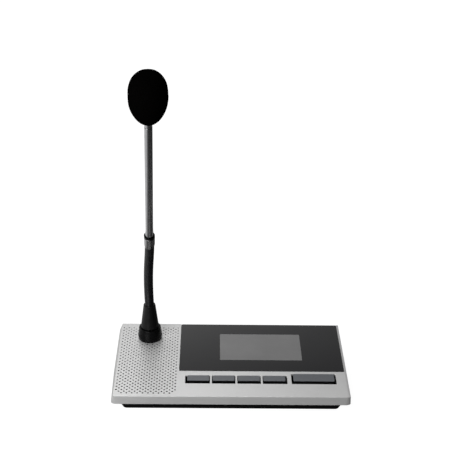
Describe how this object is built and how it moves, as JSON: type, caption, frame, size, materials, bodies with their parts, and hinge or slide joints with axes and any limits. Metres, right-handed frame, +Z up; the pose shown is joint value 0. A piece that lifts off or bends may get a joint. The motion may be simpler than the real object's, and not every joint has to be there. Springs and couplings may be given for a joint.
{
  "type": "conference delegate unit",
  "caption": "Desk delegate unit: wedge base with a perforated speaker top, dark display panel and key row, and a ribbed gooseneck microphone with a foam windscreen.",
  "frame": {"origin": "on the table, under the middle of the unit's overall box", "axes": "+Z up, +X to the user's right, +Y to the rear; the user sits on the -Y side"},
  "size_m": [0.269, 0.1952, 0.3935],
  "materials": {
    "silver_paint": "satin silver paint",
    "dark_panel": "polished dark panel",
    "display": "unlit grey display",
    "key_grey": "satin grey",
    "black_plastic": "fine-grained black",
    "board": "green circuit board",
    "steel": "plated steel",
    "magnet": "sintered magnet",
    "brass": "turned brass",
    "rubber": "satin black rubber",
    "dust_cloth": "black acoustic cloth",
    "cone_paper": "black paper cone",
    "bright_rod": "bright drawn tube",
    "neck_metal": "black satin, ribbed",
    "foam": "black open-cell foam"
  },
  "bodies": {
    "base": {"top_cover": "silver_paint", "front_panel": "dark_panel", "display_frame": "steel", "display_cell": "display", "key_board": "board", "dust_mesh": "dust_cloth", "speaker_gasket": "rubber", "speaker_basket": "steel", "speaker_cone": "cone_paper", "speaker_magnet": "magnet", "mic_socket": "steel", "mic_plug": "brass", "neck_boot": "rubber", "base_tray": "black_plastic", "main_board": "board", "key_switch_1": "black_plastic", "key_switch_2": "black_plastic", "key_switch_3": "black_plastic", "key_switch_4": "black_plastic", "key_switch_5": "black_plastic", "network_jack_1": "black_plastic", "network_jack_2": "black_plastic", "cover_standoff_1": "brass", "case_screw_1": "steel", "foot_1": "rubber", "cover_standoff_2": "brass", "case_screw_2": "steel", "foot_2": "rubber", "cover_standoff_3": "brass", "case_screw_3": "steel", "foot_3": "rubber", "cover_standoff_4": "brass", "case_screw_4": "steel", "foot_4": "rubber"},
    "key_1": {"key_1": "key_grey"},
    "key_2": {"key_2": "key_grey"},
    "key_3": {"key_3": "key_grey"},
    "key_4": {"key_4": "key_grey"},
    "talk_key": {"talk_key": "key_grey"},
    "coupling_ring": {"coupling_ring": "black_plastic"},
    "neck_link_1": {"neck_link_1": "neck_metal"},
    "neck_link_2": {"neck_link_2": "neck_metal"},
    "neck_link_3": {"neck_link_3": "neck_metal"},
    "neck_link_4": {"neck_link_4": "neck_metal"},
    "neck_link_5": {"neck_link_5": "neck_metal"},
    "neck_link_6": {"neck_link_6": "neck_metal"},
    "neck_link_7": {"neck_link_7": "neck_metal"},
    "neck_link_8": {"neck_link_8": "neck_metal"},
    "microphone_head": {"rod_sleeve": "bright_rod", "sleeve_collar": "black_plastic", "mic_rod": "bright_rod", "capsule_housing": "bright_rod", "mic_capsule": "steel", "windscreen": "foam"}
  },
  "joints": [
    {"name": "key_1_press", "type": "slide", "parent": "base", "child": "key_1", "axis": [0, 0.1045, -0.9945], "range_m": [0, 0.0015], "stiffness_N_per_m": 400},
    {"name": "key_2_press", "type": "slide", "parent": "base", "child": "key_2", "axis": [0, 0.1045, -0.9945], "range_m": [0, 0.0015], "stiffness_N_per_m": 400},
    {"name": "key_3_press", "type": "slide", "parent": "base", "child": "key_3", "axis": [0, 0.1045, -0.9945], "range_m": [0, 0.0015], "stiffness_N_per_m": 400},
    {"name": "key_4_press", "type": "slide", "parent": "base", "child": "key_4", "axis": [0, 0.1045, -0.9945], "range_m": [0, 0.0015], "stiffness_N_per_m": 400},
    {"name": "talk_key_press", "type": "slide", "parent": "base", "child": "talk_key", "axis": [0, 0.1045, -0.9945], "range_m": [0, 0.0015], "stiffness_N_per_m": 400},
    {"name": "coupling_ring_turn", "type": "hinge", "parent": "base", "child": "coupling_ring", "pos_m": [-0.0956, 0.06545, 0.03278], "axis": [0, -0.1045, 0.9945], "continuous": true},
    {"name": "neck_lean_1", "type": "hinge", "parent": "base", "child": "neck_link_1", "pos_m": [-0.0956, 0.06064, 0.07863], "axis": [1, 0, 0], "range_deg": [-13, 7]},
    {"name": "neck_side_1", "type": "hinge", "parent": "neck_link_1", "child": "neck_link_2", "pos_m": [-0.09598, 0.05926, 0.08928], "axis": [-0.0017, 0.9844, 0.1758], "range_deg": [-11, 11]},
    {"name": "neck_lean_2", "type": "hinge", "parent": "neck_link_2", "child": "neck_link_3", "pos_m": [-0.09614, 0.05737, 0.09987], "axis": [1, 0, 0], "range_deg": [-13, 7]},
    {"name": "neck_side_2", "type": "hinge", "parent": "neck_link_3", "child": "neck_link_4", "pos_m": [-0.09609, 0.05497, 0.11035], "axis": [-0.0022, 0.9631, 0.2693], "range_deg": [-11, 11]},
    {"name": "neck_lean_3", "type": "hinge", "parent": "neck_link_4", "child": "neck_link_5", "pos_m": [-0.09582, 0.05208, 0.12069], "axis": [1, 0, 0], "range_deg": [-13, 7]},
    {"name": "neck_side_3", "type": "hinge", "parent": "neck_link_5", "child": "neck_link_6", "pos_m": [-0.09531, 0.0487, 0.13089], "axis": [0.0013, 0.9328, 0.3603], "range_deg": [-11, 11]},
    {"name": "neck_lean_4", "type": "hinge", "parent": "neck_link_6", "child": "neck_link_7", "pos_m": [-0.09459, 0.04483, 0.14089], "axis": [1, 0, 0], "range_deg": [-13, 7]},
    {"name": "neck_side_4", "type": "hinge", "parent": "neck_link_7", "child": "neck_link_8", "pos_m": [-0.09379, 0.04049, 0.15069], "axis": [0.0081, 0.8941, 0.4478], "range_deg": [-11, 11]},
    {"name": "neck_lean_5", "type": "hinge", "parent": "neck_link_8", "child": "microphone_head", "pos_m": [-0.09311, 0.03568, 0.16028], "axis": [1, 0, 0], "range_deg": [-13, 7]}
  ],
  "couplings": [
    {"joint": "neck_lean_2", "follows": "neck_lean_1", "ratio": 1},
    {"joint": "neck_side_2", "follows": "neck_side_1", "ratio": 1},
    {"joint": "neck_lean_3", "follows": "neck_lean_1", "ratio": 1},
    {"joint": "neck_side_3", "follows": "neck_side_1", "ratio": 1},
    {"joint": "neck_lean_4", "follows": "neck_lean_1", "ratio": 1},
    {"joint": "neck_side_4", "follows": "neck_side_1", "ratio": 1},
    {"joint": "neck_lean_5", "follows": "neck_lean_1", "ratio": 1}
  ]
}
